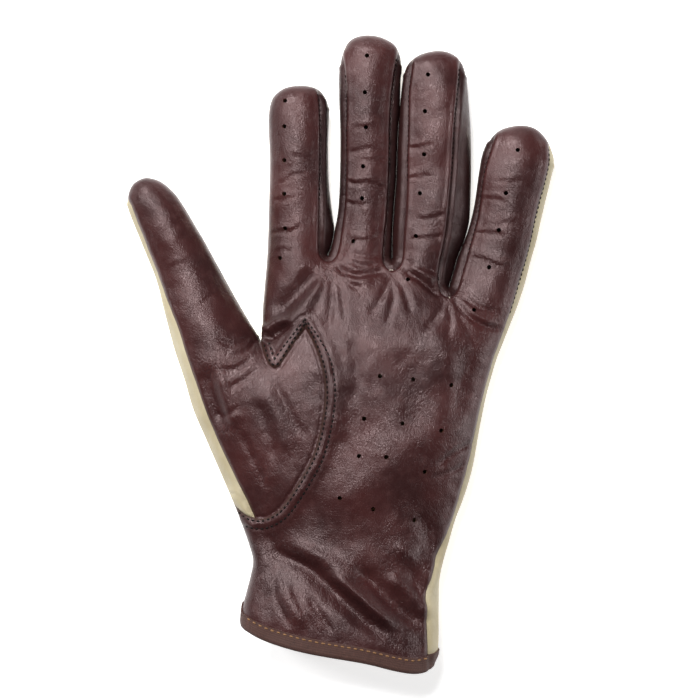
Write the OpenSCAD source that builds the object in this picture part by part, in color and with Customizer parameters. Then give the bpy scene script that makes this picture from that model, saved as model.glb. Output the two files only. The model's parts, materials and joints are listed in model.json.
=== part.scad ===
// Left leather driving glove, lying on its back with the palm up.
// +X to the little finger, +Y to the fingertips, +Z out of the palm. Millimetres.

/* [Fingers] */
// Length of the index, middle, ring and little finger, knuckle line to tip
finger_len = [69, 90.2, 88.5, 70]; // [55:0.5:100]
// Widest width of the index, middle, ring and little finger
finger_w = [23.4, 24, 23.6, 25.6]; // [20:0.2:26]
// Width of those fingers at the knuckle line
finger_root_w = [20.8, 21.2, 20.2, 22.4]; // [18:0.2:23]
// Thickness of a finger at the knuckle line
finger_root_h = 22; // [18:0.5:24]
// Thickness of a finger near its tip
finger_tip_h = 18; // [15:0.5:21]
// Share of a finger's length at which it bends a second time
bend_share = 0.44; // [0.4:0.01:0.5]

/* [Thumb] */
// Length of the thumb from its root crease to its tip
thumb_len = 70; // [60:0.5:76]
// Width of the thumb at its root crease
thumb_root_w = 30; // [26:0.5:31]
// Width of the thumb along its tip half
thumb_w = 23.4; // [20:0.2:25]
// Lean of the thumb away from the fingers, in degrees
thumb_lean = 23.4; // [20:0.2:26]

/* [Hand] */
// Thickness of the filled hand at the palm
palm_h = 31; // [26:0.5:34]
// Thickness of the hand at the knuckle line
knuckle_h = 24; // [23:0.5:26]
// Thickness of the wrist
wrist_h = 35; // [30:0.5:38]
// Height of the bound edge round the wrist opening
binding_h = 6; // [5:0.5:7]

/* [Leather] */
// Thickness of the leather with its padding
leather_t = 1.4; // [1:0.1:1.8]
// Thickness of the woven tape that binds the wrist opening
tape_t = 0.7; // [0.5:0.1:0.9]
// Length of one stitch
stitch_l = 2.2; // [1.5:0.1:2.6]

/* [Joints] */
// Bend of a finger at the knuckle line, in degrees
knuckle_bend = 75; // [60:1:75]
// Bend of a finger at its middle joint, in degrees
finger_bend = 80; // [60:1:80]
// Bend of the thumb at its root, in degrees
thumb_root_bend = 40; // [30:1:40]
// Bend of the thumb at its middle joint, in degrees
thumb_bend = 65; // [50:1:65]
// Space left on each side of a bend line
gap = 0.3; // [0.25:0.05:0.5]

/* [Hidden] */
FINGERS = ["index", "middle", "ring", "little"];
HAND_NODES = [
    "palm_panel", "back_panel", "thumb_root_palm", "index_middle_crotch", "middle_ring_crotch",
    "ring_little_crotch", "wrist_binding", "wrist_elastic", "hem_stitching", "thumb_stitching"
];
PANELS = ["base_palm", "base_back", "base_fourchettes", "tip_palm", "tip_back", "tip_fourchettes"];
THUMB_PANELS = ["base_palm", "base_back", "tip_palm", "tip_back"];

BROWN = "#5a3d3a";
DARK_BROWN = "#46302d";
CREAM = "#ebe2c4";
TAPE = "#73493e";
THREAD = "#b08a5a";

// Knuckle centres, sideways lean and sideways bow of the four fingers
finger_x = [-17.6, 6.4, 29.9, 56];
finger_y = [34.6, 33.4, 28.8, 18.6];
finger_lean = [1.1, 3.4, 4.9, 12.2];
finger_bow = [0.2, 2.6, 2.9, 2.6];
// Angle that a fourchette takes on a side of a finger, up and down from its middle
fourchette_half = 27;
// Angle left free on each side of a seam
seam_half = 0.8;

// Place of the thumb's root, its thickness there, and the share of its length at which it bends
thumb_x = -47.6;
thumb_y = 3;
thumb_h = 23;
thumb_bend_share = 0.52;
// The tip half of the thumb is this much thicker than a finger's tip
thumb_extra_h = 1;
// The thumb's second bend line lies this much nearer the back than its middle
thumb_bend_drop = 1;

knuckle_z = finger_root_h / 2;
middle_z = (finger_root_h + finger_tip_h) / 4;
thumb_z = thumb_h / 2;

// Length of the rounded tip of a finger, and the angle at which its last row closes it
tip_dome = 11;
dome_angle = 86;
// Exponents of the rounded sections: a finger, a fingertip seen from above, and the hand
finger_n = 2.3;
dome_n = 2.4;
hand_n = 2.6;
// Share of its length over which a finger grows to its widest
widen_share = 0.35;
// The tube of a finger never closes further than this half width
least_half = 0.25;

// Rows and columns of the panel grids
finger_rows = 5;
dome_rows = 5;
finger_cols = 8;
fourchette_cols = 3;
loop_cols = 9;
hand_cols = 16;
elastic_cols = 12;
binding_cols = 64;

// ---- superellipse sections ----

function sgn(v) = v < 0 ? -1 : 1;
function lerp(a, b, s) = a + (b - a) * s;
function clamp01(v) = min(1, max(0, v));
function smooth(v) = let (s = clamp01(v)) s * s * (3 - 2 * s);
function cos_n(t, n) = sgn(cos(t)) * pow(abs(cos(t)), 2 / n);
function sin_n(t, n) = sgn(sin(t)) * pow(abs(sin(t)), 2 / n);

// A closed shell from two matching grids of points, outer and inner, [row][column]
module panel(outer, inner) {
    rows = len(outer);
    cols = len(outer[0]);
    skip = rows * cols;
    points = concat([for (r = outer, p = r) p], [for (r = inner, p = r) p]);
    sheet = [for (i = [0:rows - 2], j = [0:cols - 2])
        let (a = i * cols + j, b = a + 1, c = a + cols, d = c + 1)
            each [[a, b, c], [c, b, d], [c + skip, b + skip, a + skip], [d + skip, b + skip, c + skip]]];
    function rim(a, b) = [[a, b, b + skip], [a, b + skip, a + skip]];
    ends = [for (j = [0:cols - 2])
        let (last = (rows - 1) * cols + j)
            each concat(rim(j + 1, j), rim(last, last + 1))];
    sides = [for (i = [0:rows - 2])
        let (a = i * cols, b = a + cols)
            each concat(rim(a, b), rim(b + cols - 1, a + cols - 1))];
    polyhedron(points, concat(sheet, ends, sides), convexity = 6);
}

// ---- fingers and thumb: one tube rule for all five ----
// A digit is [length, root width, width, root thickness, tip thickness, bow]

function digit(i) = [
    finger_len[i], finger_root_w[i], finger_w[i], finger_root_h, finger_tip_h, finger_bow[i]
];
thumb_digit = [thumb_len, thumb_root_w, thumb_w, thumb_h, finger_tip_h + thumb_extra_h, 0];

// How full the tube is at y: 1 along its length, falling to 0 over the dome at the tip
function fullness(d, y) =
    let (s = clamp01((y - d[0] + tip_dome) / tip_dome)) pow(1 - pow(s, dome_n), 1 / dome_n);
function half_w(d, y) = lerp(d[1], d[2], smooth(y / (widen_share * d[0]))) / 2;
function half_h(d, y) = lerp(d[3], d[4], y / d[0]) / 2;
function bow(d, y) = d[5] * sin(180 * y / d[0]);

// One point of the tube: the wall is drawn in by `inset` from the outer skin
function tube_point(d, y_nominal, y, t, inset) =
    let (
        full = fullness(d, y_nominal),
        a = max(least_half, half_w(d, y_nominal) * full - inset),
        b = max(least_half, half_h(d, y_nominal) * full - inset)
    )
    [
        bow(d, y_nominal) + a * cos_n(t, finger_n),
        y - inset * (1 - full),
        half_h(d, y_nominal) + b * sin_n(t, finger_n)
    ];

// Nominal rows: even steps, and in the tip's dome steps of equal angle
function rows_between(low, high, dome) = dome
    ? concat(
        [for (i = [0:finger_rows - 1]) lerp(low, high - tip_dome, i / finger_rows)],
        [for (i = [0:dome_rows]) high - tip_dome + tip_dome * sin(dome_angle * i / dome_rows)])
    : [for (i = [0:finger_rows]) lerp(low, high, i / finger_rows)];

// Where a bend leaves room: straight below the bend line, and a V towards the palm above it
function bend_room(z, bend_z, angle) = gap + max(0, z - bend_z) * tan(angle / 2);

// Grid of one panel between two bend lines. cut = [low, low_z, low_angle, high, high_z, high_angle],
// with high_angle 0 at the tip. side = angles of the two long seams at the root and at the tip:
// over the tip's dome the fourchettes run out and the palm meets the back.
function tube_grid(d, cut, side, inset, cols) =
    let (dome = cut[5] == 0, nominal = rows_between(cut[0], cut[3], dome))
    [for (y = nominal)
        let (taper = 1 - smooth((y - d[0] + 1.8 * tip_dome) / (1.6 * tip_dome)))
        [for (j = [0:cols])
            let (
                t = lerp(lerp(side[2], side[0], taper), lerp(side[3], side[1], taper), j / cols),
                z = tube_point(d, y, y, t, inset)[2],
                s = (y - cut[0]) / (cut[3] - cut[0]),
                low = cut[0] + bend_room(z, cut[1], cut[2]),
                high = dome ? cut[3] : cut[3] - bend_room(z, cut[4], cut[5])
            )
            tube_point(d, y, lerp(low, high, s), t, inset)]];

module tube_panel(d, cut, side, cols) {
    panel(tube_grid(d, cut, side, 0, cols), tube_grid(d, cut, side, leather_t, cols));
}

// side angles: [start, end, start at the tip, end at the tip]
module palm_side(d, cut, right, left) {
    side = [right + seam_half, 180 - left - seam_half, seam_half, 180 - seam_half];
    tube_panel(d, cut, side, finger_cols);
}
module back_side(d, cut, right, left) {
    side = [180 + left + seam_half, 360 - right - seam_half, 180 + seam_half, 360 - seam_half];
    tube_panel(d, cut, side, finger_cols);
}
module fourchette(d, cut, middle) {
    half = fourchette_half - seam_half;
    end = seam_half / 4;
    tube_panel(d, cut, [middle - half, middle + half, middle - end, middle + end], fourchette_cols);
}

module at_finger(i) {
    translate([finger_x[i], finger_y[i], 0]) rotate([0, 0, -finger_lean[i]]) children();
}
module at_thumb() {
    translate([thumb_x, thumb_y, 0]) rotate([0, 0, thumb_lean]) children();
}

// The index finger has a fourchette only on its right, and the little finger only on its left
function right_side(i) = i < 3 ? fourchette_half : 0;
function left_side(i) = i > 0 ? fourchette_half : 0;
function base_cut(i) = [
    0, knuckle_z, knuckle_bend, finger_len[i] * bend_share, middle_z, finger_bend
];
function tip_cut(i) = [finger_len[i] * bend_share, middle_z, finger_bend, finger_len[i], 0, 0];

module finger_part(i, p) {
    d = digit(i);
    cut = p < 3 ? base_cut(i) : tip_cut(i);
    kind = p % 3;
    at_finger(i) {
        if (kind == 0) color(BROWN) palm_side(d, cut, right_side(i), left_side(i));
        if (kind == 1) color(CREAM) back_side(d, cut, right_side(i), left_side(i));
        if (kind == 2) color(DARK_BROWN) {
            if (right_side(i) > 0) fourchette(d, cut, 0);
            if (left_side(i) > 0) fourchette(d, cut, 180);
        }
    }
}

thumb_mid = thumb_len * thumb_bend_share;
thumb_mid_z = thumb_z - thumb_bend_drop;
thumb_base_cut = [0, thumb_z, thumb_root_bend, thumb_mid, thumb_mid_z, thumb_bend];
thumb_tip_cut = [thumb_mid, thumb_mid_z, thumb_bend, thumb_len, 0, 0];

module thumb_part(p) {
    cut = p < 2 ? thumb_base_cut : thumb_tip_cut;
    at_thumb() {
        if (p % 2 == 0) color(BROWN) palm_side(thumb_digit, cut, 0, 0);
        if (p % 2 == 1) color(CREAM) back_side(thumb_digit, cut, 0, 0);
    }
}

// ---- hand: a row of sections from the hem to the knuckle line ----

hem_row = -112.5;
front_row = 34;
// Row from which the sections turn to follow the knuckle line, and that line's ends
front_start = -14;
front_left_y = 34.8;
front_right_y = 15;
// Space between the hand's own panels and the fingers at the knuckle line
seam_gap = 0.2;
// The palm is a little fuller than a plain rounded section
palm_full = 1.06;
// Share of the side's height that stands open where the thumb joins the hand
mouth_share = 0.74;

// Outline of the hand at its left and right edge, by height y
left_edge = [
    [-125, -38.6], [-106, -38.6], [-97, -37.2], [-88, -34.6], [-79, -33.9], [-72, -36.2], [-57, -42],
    [-38, -50.6], [-18, -57.8], [-7, -60.5], [-2, -34], [4, -30], [40, -29.6]
];
left_edge_back = [
    [-125, -38.6], [-106, -38.6], [-97, -37.2], [-88, -34.6], [-79, -33.9], [-72, -36.2], [-57, -42],
    [-38, -50.6], [-18, -57.8], [-8, -60.8], [-3.8, -62], [8, -34.8], [10, -31], [40, -29.6]
];
right_edge = [
    [-125, 36.6], [-113, 38], [-98, 37.4], [-88, 38.2], [-73, 42], [-55, 47], [-38, 52], [-12, 57.5],
    [0, 62], [10, 67], [20, 68]
];
// The knuckle line steps down towards the little finger
front_edge = [
    [-30, 34.9], [17, 32.8], [21, 29.4], [39, 27.8], [43, 19.2], [64, 15.6], [69, 14.8]
];
// Slope of a section line: the hem runs down to the right
function slope(v) = -0.25 * smooth((-52 - v) / 50);
// Bottom and half thickness of the filled hand
function floor_z(v) = 3 * smooth((-62 - v) / 20);
function hand_half(v) = lookup(v, [
    [-125, 16], [-97, wrist_h / 2 - 1], [-80, wrist_h / 2 - 1], [-50, palm_h / 2 + 0.4],
    [-10, palm_h / 2], [20, knuckle_h / 2 + 0.6], [34, knuckle_h / 2]
]);
function along(v) = clamp01((v - front_start) / (front_row - front_start));
function edge_row(v, end_y) = lerp(v, end_y, along(v));

function left_x(v, back) =
    let (y = edge_row(v, front_left_y)) lookup(y, back ? left_edge_back : left_edge);
function right_x(v) = lookup(edge_row(v, front_right_y) - slope(v) * 40, right_edge);

// How much the side stands open where the thumb joins the hand
function thumb_mouth(v, back) =
    let (y = edge_row(v, front_left_y))
    smooth((y + 22) / 8) * (1 - smooth((y - (back ? 8 : 3)) / 4));

function hand_point(v, t, inset, back) =
    let (
        xl = left_x(v, back),
        xr = right_x(v),
        middle = (xl + xr) / 2,
        a = (xr - xl) / 2 - inset,
        b = hand_half(v) - inset,
        open = t > 90 && t < 270 ? mouth_share * thumb_mouth(v, back) : 0,
        up = sin_n(t, hand_n),
        rise = back ? min(up, -open) : max(up, open),
        x = middle + a * cos_n(t, hand_n),
        z = max(inset, floor_z(v) + hand_half(v) + b * rise * palm_full),
        end_y = lookup(x, front_edge) - bend_room(z, knuckle_z, knuckle_bend) - seam_gap,
        y = lerp(v + slope(v) * (x - middle), end_y, along(v))
    )
    [x, y, z];

// Rows of the wrist and palm, then the closer rows beside the thumb
low_rows = 11;
high_rows = 9;
low_end = -22;
high_start = -17;
palm_rows = concat(
    [for (i = [0:low_rows]) lerp(hem_row, low_end, i / low_rows)],
    [for (i = [0:high_rows]) lerp(high_start, front_row, i / high_rows)]
);

// The thumb's own leather is let into the palm along a loop: its x at each row
loop_line = [
    [-64, -37.5], [-61, -25], [-55, -15.5], [-46, -9.4], [-30, -4.6], [-15, -3.6], [-4, -5.6], [6, -10],
    [14, -14.5], [17, -26]
];
function in_loop(v) = v > loop_line[0][0] && v < loop_line[len(loop_line) - 1][0];
// Angle of the section at which the loop crosses row v
function loop_t(v) =
    let (
        xl = left_x(v, false),
        xr = right_x(v),
        c = (lookup(v, loop_line) - (xl + xr) / 2) / ((xr - xl) / 2)
    )
    in_loop(v) ? acos(sgn(c) * pow(min(1, abs(c)), hand_n / 2)) : 180;

function hand_grid(rows, from_t, to_t, inset, back, cols) =
    [for (k = [0:len(rows) - 1])
        [for (j = [0:cols]) hand_point(rows[k], lerp(from_t[k], to_t[k], j / cols), inset, back)]];

module hand_panel(rows, from_t, to_t, back, cols) {
    panel(
        hand_grid(rows, from_t, to_t, 0, back, cols),
        hand_grid(rows, from_t, to_t, leather_t, back, cols)
    );
}

module palm_panel() color(BROWN) {
    to_t = [for (v = palm_rows) loop_t(v) - seam_half / 2];
    hand_panel(palm_rows, [for (v = palm_rows) seam_half], to_t, false, hand_cols);
}

module thumb_root_palm() color(BROWN) {
    rows = [for (v = palm_rows) if (in_loop(v)) v];
    from_t = [for (v = rows) loop_t(v) + seam_half / 2];
    hand_panel(rows, from_t, [for (v = rows) 180 - seam_half], false, loop_cols);
}

module back_panel() color(CREAM)
    hand_panel(
        palm_rows, [for (v = palm_rows) 180 + seam_half], [for (v = palm_rows) 360 - seam_half],
        true, hand_cols
    );

// ---- small pieces ----

// Rounded web between two fingers, standing on the hand side of the knuckle line
web_t = 1.5;
web_low = 3;
web_h = 12;
web_root = 4;
web_rim = 2.5;
module crotch(x, y, lean) {
    color(DARK_BROWN)
        translate([x, y, web_low]) rotate([0, 0, -lean])
            rotate([90, 0, 90]) translate([0, 0, -web_t / 2])
                linear_extrude(web_t) difference() {
                    union() {
                        square([web_root, web_h]);
                        translate([web_root, web_h / 2]) circle(d = web_h, $fn = 48);
                    }
                    translate([web_root, web_h / 2]) circle(d = web_h - 2 * web_rim, $fn = 48);
                }
}
module index_middle_crotch() crotch(-5.9, 30, 2);
module middle_ring_crotch() crotch(18.6, 27, 4);
module ring_little_crotch() crotch(41.7, 19.5, 8);

// A closed ring swept round the hand's section. profile = [row offset, inset] in order
module section_ring(v, profile, steps) {
    n = len(profile);
    points = [for (k = [0:steps - 1], p = profile)
        let (t = 360 * k / steps, q = hand_point(v + p[0], t, p[1], t > 180)) q];
    faces = [for (k = [0:steps - 1], i = [0:n - 1])
        let (
            this = k * n,
            next = ((k + 1) % steps) * n,
            j = (i + 1) % n
        )
        each [[this + i, this + j, next + i], [next + i, this + j, next + j]]];
    polyhedron(points, faces, convexity = 6);
}

// Tape folded over the raw edge: up the outside, under the edge and up the inside
binding_clear = 0.3;
module wrist_binding() color(TAPE) {
    clear = binding_clear;
    out = clear + tape_t;
    deep = leather_t + clear;
    section_ring(hem_row, [
        [-out, -out], [-out, deep + tape_t], [binding_h, deep + tape_t], [binding_h, deep],
        [-clear, deep], [-clear, -clear], [binding_h, -clear], [binding_h, -out]
    ], binding_cols);
}

// Elastic tape sewn inside the back where the wrist is narrowest
elastic_rows = [-84, -80, -76];
elastic_from = 205;
elastic_to = 335;
elastic_clear = 0.4;
elastic_t = 1;
module wrist_elastic() color("ivory") {
    from_t = [for (v = elastic_rows) elastic_from];
    to_t = [for (v = elastic_rows) elastic_to];
    out = leather_t + elastic_clear;
    panel(
        hand_grid(elastic_rows, from_t, to_t, out, true, elastic_cols),
        hand_grid(elastic_rows, from_t, to_t, out + elastic_t, true, elastic_cols)
    );
}

// One stitch lying on the skin at row v and angle t, turned to run across or along the rows
stitch_w = 0.6;
stitch_h = 0.4;
module stitch(v, t, lift, turn) {
    here = hand_point(v, t, -lift, t > 180);
    next = hand_point(v, t + 1, -lift, t > 180);
    run = next - here;
    translate(here)
        rotate([0, -atan2(run[2], norm([run[0], run[1]])), atan2(run[1], run[0])])
            rotate([0, 0, turn]) cube([stitch_l, stitch_w, stitch_h], center = true);
}

// A row of stitches round the binding, just below its upper edge
hem_stitches = 52;
hem_stitch_from = 3.5;
hem_stitch_drop = 1.2;
hem_stitch_clear = 0.4;
module hem_stitching() color(THREAD)
    for (k = [0:hem_stitches - 1])
        stitch(
            hem_row + binding_h - hem_stitch_drop, hem_stitch_from + 360 * k / hem_stitches,
            binding_clear + tape_t + hem_stitch_clear, 0
        );

// Two rows of stitches, one on each side of the thumb's seam: their first and last row, their
// angle from the seam and their height over the leather
loop_stitches = 22;
loop_stitch_rows = [-56, 12];
loop_stitch_side = 2.2;
loop_stitch_lift = 0.5;
module thumb_stitching() color("black")
    for (side = [-loop_stitch_side, loop_stitch_side], k = [0:loop_stitches - 1]) {
        v = lerp(loop_stitch_rows[0], loop_stitch_rows[1], k / (loop_stitches - 1));
        reach = 2;
        turn = atan2(2 * reach, lookup(v - reach, loop_line) - lookup(v + reach, loop_line));
        stitch(v, loop_t(v) + side, loop_stitch_lift, turn);
    }

// ---- what is drawn ----

palm_panel();
back_panel();
thumb_root_palm();
index_middle_crotch();
middle_ring_crotch();
ring_little_crotch();
wrist_binding();
wrist_elastic();
hem_stitching();
thumb_stitching();
for (i = [0:3], p = [0:5])
    finger_part(i, p);
for (p = [0:3])
    thumb_part(p);
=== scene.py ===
"""A left leather driving glove, lying on its back with the palm up."""
import json
import math

import bpy
import numpy as np
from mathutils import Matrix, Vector, geometry, noise
from mathutils.bvhtree import BVHTree
from mathutils.kdtree import KDTree


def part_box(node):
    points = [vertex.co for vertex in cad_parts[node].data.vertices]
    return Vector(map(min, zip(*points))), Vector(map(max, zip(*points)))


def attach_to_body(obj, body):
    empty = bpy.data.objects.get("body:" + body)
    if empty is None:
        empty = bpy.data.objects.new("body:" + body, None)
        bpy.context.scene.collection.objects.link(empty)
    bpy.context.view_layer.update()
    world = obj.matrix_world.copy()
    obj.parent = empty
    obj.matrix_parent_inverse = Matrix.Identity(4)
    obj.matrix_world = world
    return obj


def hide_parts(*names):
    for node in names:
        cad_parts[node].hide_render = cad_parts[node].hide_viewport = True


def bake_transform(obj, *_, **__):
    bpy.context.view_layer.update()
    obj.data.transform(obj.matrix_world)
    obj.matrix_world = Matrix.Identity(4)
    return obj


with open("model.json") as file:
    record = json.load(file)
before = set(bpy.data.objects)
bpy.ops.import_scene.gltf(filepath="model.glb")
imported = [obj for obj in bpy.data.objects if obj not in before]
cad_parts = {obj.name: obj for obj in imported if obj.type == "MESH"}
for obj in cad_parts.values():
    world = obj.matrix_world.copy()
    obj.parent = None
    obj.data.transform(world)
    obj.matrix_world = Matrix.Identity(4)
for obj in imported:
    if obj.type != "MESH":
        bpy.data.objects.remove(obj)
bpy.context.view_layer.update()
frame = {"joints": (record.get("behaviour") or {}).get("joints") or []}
MM = 0.001

# ------ plan of the glove, in millimetres
# The outline seen from above the palm, clockwise from the hem's left end. Each list is one stretch.
WRIST_LEFT = [(-38.4, -103), (-37.8, -97.5), (-36.2, -91.4), (-34.6, -85), (-33.9, -79.9), (-35.4, -74.1),
    (-38.9, -64.5), (-42, -56.8), (-47, -45.2), (-52, -33.7), (-57, -22.1), (-60.4, -10.6), (-64.3, 1),
    (-66.4, 8.7), (-68.6, 17), (-71.4, 27.9), (-76.2, 40), (-79.7, 48.5), (-82.2, 54.9)]
THUMB_TIP = [(-82.8, 58.7), (-82.1, 62.8), (-80, 66), (-75.6, 67.9), (-70.1, 66.6), (-65.2, 62.8)]
THUMB_RIGHT = [(-61.6, 58.2), (-57, 50.6), (-52.7, 43.3), (-48.5, 35.6), (-44.3, 27.9), (-39.8, 19.8),
    (-35.2, 12), (-32.2, 7.2)]
INDEX_LEFT = [(-31, 4.9), (-30.6, 7.4), (-30.5, 16.4), (-29.6, 27.9), (-28.9, 36), (-28.5, 44),
    (-28.1, 58.7), (-27.8, 74), (-28.2, 85.7), (-28.2, 92)]
INDEX_TIP = [(-27.3, 97.2), (-25.2, 100.5), (-21, 103), (-14.5, 103.7), (-9.2, 102.4), (-6, 99),
    (-4.8, 95.5)]
INDEX_RIGHT = [(-4.6, 91), (-5, 80), (-4.7, 66.4), (-3.9, 58), (-3.1, 52), (-2.6, 48), (-3.3, 43.5),
    (-4.1, 40.4), (-4.7, 39), (-5.05, 38.1)]
MIDDLE_LEFT = [(-5, 37.5), (-4.95, 38.1), (-4.6, 39), (-4, 40.4), (-3.2, 43.4), (-2.35, 48), (-1.5, 52.5),
    (-0.8, 59), (-0.4, 70), (-0.3, 85), (-0.75, 98), (-0.85, 106)]
MIDDLE_TIP = [(-0.4, 111.7), (0.9, 117.1), (3.5, 121.2), (8.6, 123.1), (15, 122.6), (20.5, 119.8),
    (22.8, 115.9), (23.5, 111.8)]
MIDDLE_RIGHT = [(23.2, 107), (22.85, 97), (22.2, 87.6), (21.7, 78), (21.3, 66.4), (20.5, 56.8),
    (19.9, 47.2), (19.75, 39.5), (19.7, 36.8)]
RING_LEFT = [(19.75, 36.2), (19.8, 36.8), (19.85, 39.5), (20, 47.2), (20.6, 56.8), (21.4, 66.4), (21.8, 78),
    (22.3, 87.6), (22.97, 97), (23.7, 104)]
RING_TIP = [(24.5, 108.6), (25.9, 112), (29.1, 114.9), (33, 116.5), (38, 117.2), (42.9, 116.1),
    (46.3, 113.2), (48.4, 107.8)]
RING_RIGHT = [(49.5, 97), (50.3, 85), (50.5, 72), (50.3, 62), (50, 54), (49.5, 49.6), (47.8, 43.57),
    (45.3, 37.47), (43.4, 31), (42.3, 27.4), (41.95, 26)]
LITTLE_LEFT = [(42, 25.4), (42.05, 26), (42.4, 27.4), (43.5, 31), (45.4, 37.43), (47.9, 43.53), (50, 50),
    (51.8, 58), (53.2, 68), (54.8, 77)]
LITTLE_TIP = [(57.4, 82.2), (61.6, 86.4), (68.6, 88.2), (75, 87.2), (79.6, 83), (81.9, 78), (82.7, 73.5)]
LITTLE_RIGHT = [(81.2, 66.4), (79.3, 58.7), (77.5, 51), (75.8, 43.3), (73.6, 35.6), (71.6, 27.9),
    (69.2, 20.2), (66.2, 12.5), (63.1, 4.8), (60.1, -2.9), (57.8, -10.6), (55.8, -18.3), (53.5, -29.8),
    (51.5, -41.4), (49.7, -49.1), (47.2, -56.8), (44.2, -64.5), (41.9, -72.2), (39.6, -79.9), (38, -87.6),
    (37.7, -96), (37.7, -106), (37.6, -112), (37.2, -116), (35.8, -119.2)]
# Below the hem the outline runs straight on, so that the wrist is an open tube
TUBE_END = [(35.6, -150), (-38.6, -150)]

# Where the palm's leather meets the back's on the outline itself
SIDE_SEAMS = [THUMB_TIP + THUMB_RIGHT, INDEX_LEFT + INDEX_TIP, MIDDLE_TIP, RING_TIP, LITTLE_TIP]
# Seams of the palm side: round each finger gap, along the cream edges, and round the thumb
GAP_SEAMS = [
    [(-9.5, 102.8), (-7.8, 97), (-7.4, 79.5), (-7.7, 63.3), (-8.1, 47.2), (-7.9, 40), (-6.9, 36.9),
     (-4.9, 35.7), (-3, 36.8), (-1.7, 40), (-0.5, 47.2), (0.5, 55.2), (1, 63.3), (1.4, 79.5), (1.5, 95.7),
     (1.1, 107), (0.6, 115.4)],
    [(22.5, 116.8), (21.5, 109), (20.4, 101), (19.6, 87.6), (18.9, 66), (18, 52), (17, 39), (17.3, 34.8),
     (19.4, 32.5), (21.9, 33.8), (23.3, 39), (24.3, 51), (24.9, 62), (25.1, 78), (25.4, 92), (25.6, 101),
     (27.4, 113.4)],
    [(46.4, 112.8), (46.1, 106.8), (45.4, 99.5), (44.2, 87.6), (43.4, 71.4), (42.2, 59.1), (41, 47),
     (38.9, 34.8), (38.2, 28.3), (39.1, 23.6), (41.3, 21.9), (43.8, 23.4), (46.2, 30.8), (49, 40.5),
     (51.8, 51), (53.4, 60.8), (54.8, 70), (56.8, 77), (59, 84.6)],
]
THUMB_SEAM = [(-82.6, 60), (-81.2, 56.8), (-79.2, 51), (-75.4, 41.4), (-71.5, 31.8), (-67.9, 22.1),
    (-64.2, 12.5), (-61.1, 2.9), (-57.7, -6.7), (-53.8, -18.3), (-49.4, -29.8), (-44, -41.4),
    (-38.2, -53.4), (-36, -58.5), (-34.4, -62.6), (-33.6, -64.6)]
LITTLE_SEAM = [(80.8, 81), (80.8, 74), (79.3, 66.4), (76.2, 54.5), (71.5, 34.8), (67, 19.8), (63.2, 8.2),
    (59.6, -1.2), (56.7, -10.6), (54.6, -18.6), (52.2, -30.6), (49.2, -44.5), (45.9, -55.6), (42, -67.6),
    (37.9, -79.1), (34.6, -88.5), (33.4, -95), (33.6, -104.5), (34, -125)]
# The loop is the folded edge of the palm leather that lies on the thumb's leather
LOOP_LOW = [(-41.4, -58), (-38.4, -61.2), (-35, -63.2), (-31, -63.8), (-26.6, -62.3), (-21.9, -58.3),
    (-14.8, -47.4), (-10.2, -38.3), (-7.4, -27.5), (-6.1, -17), (-6.7, -8), (-9.2, 0.8), (-13.5, 10.2)]
LOOP_HIGH = [(-13.5, 10.2), (-17.4, 4.4), (-21.3, -1.6), (-23.6, -5), (-25.6, -5.7), (-27.7, -4.2),
    (-29.3, -0.4), (-31, 4.9)]
# On the back, brown leather turns round the thumb side of the wrist as far as this line
WRIST_WRAP = [(-41.4, -58), (-34, -66), (-29.5, -80), (-29.5, -92), (-32, -125)]

# Lines between the digits, from the crotch upwards
DIVIDERS = [
    [(-31, 4.9), (-31.4, 9), (-34, 20), (-40, 60)],
    [(-5, 37.3), (-4.65, 39), (-4.05, 40.4), (-3.25, 43.45), (-2.45, 48), (-2.3, 52.5), (-2.6, 100)],
    [(19.75, 36), (19.8, 39.5), (19.95, 47.2), (20.55, 56.8), (21.35, 66.4), (21.75, 78), (22.25, 87.6),
     (22.9, 97), (23.4, 108)],
    [(42, 25.2), (42.35, 27.4), (43.45, 31), (45.35, 37.45), (47.85, 43.55), (49.8, 49.7), (51, 60),
     (52, 80)],
]

# Where the leather ends, inside the binding: on the palm and, a little higher, on the back
HEM_PALM = [(-38.4, -103), (-36.4, -105.8), (-28.1, -109.8), (-12.7, -114), (8.9, -117.8), (20.8, -120.8),
    (28.5, -122.1), (33, -121.4), (35.8, -119.2)]
HEM_BACK = [(-38.4, -103), (-36.2, -101), (-20, -101.4), (0, -104.4), (20, -110), (31, -115),
    (35.8, -119.2)]
BINDING_H = 5.2      # height and thickness of the tape
BINDING_T = 0.55

# Punched holes: a row on each finger and a lattice on the palm
HOLES = [(-21.6, 97.2), (-21.9, 87.2), (-21.9, 74.1), (-21.9, 61.2), (-21.6, 47.9), (-23.5, 36.4),
    (10, 114.5), (9.2, 100.3), (9.6, 86.8), (8.5, 71.8), (8.1, 59.5), (4.6, 42.9), (33.5, 107.2),
    (32.3, 93), (32, 76.4), (30.4, 61.4), (28.9, 44.9), (25.8, 28.3), (68.1, 78), (63.5, 61.4),
    (60.8, 47.2), (57, 32.9), (51.2, 16.4), (15, -9), (27.7, -10.2), (42.4, -12.5), (8.9, -25.2),
    (23.5, -27.1), (38.1, -29.8), (6.9, -39.5), (17.3, -39.9), (32, -45.6), (-0.4, -55.6), (12.3, -59.9),
    (28.5, -64.1)]
HOLE_R = 0.85

LEATHER_T = 0.9
# Spacing of the skin's points: within FINE_BAND of a seam or edge, and elsewhere
FINE, COARSE = ((0.62, 1.05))
FINE_BAND = 4.2
LATTICE_END = -126   # the points start here, below the hem
EDGE_CLEAR = 0.45    # a point comes no nearer to a line than this share of the spacing
HOLE_CLEAR = 0.35


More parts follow.
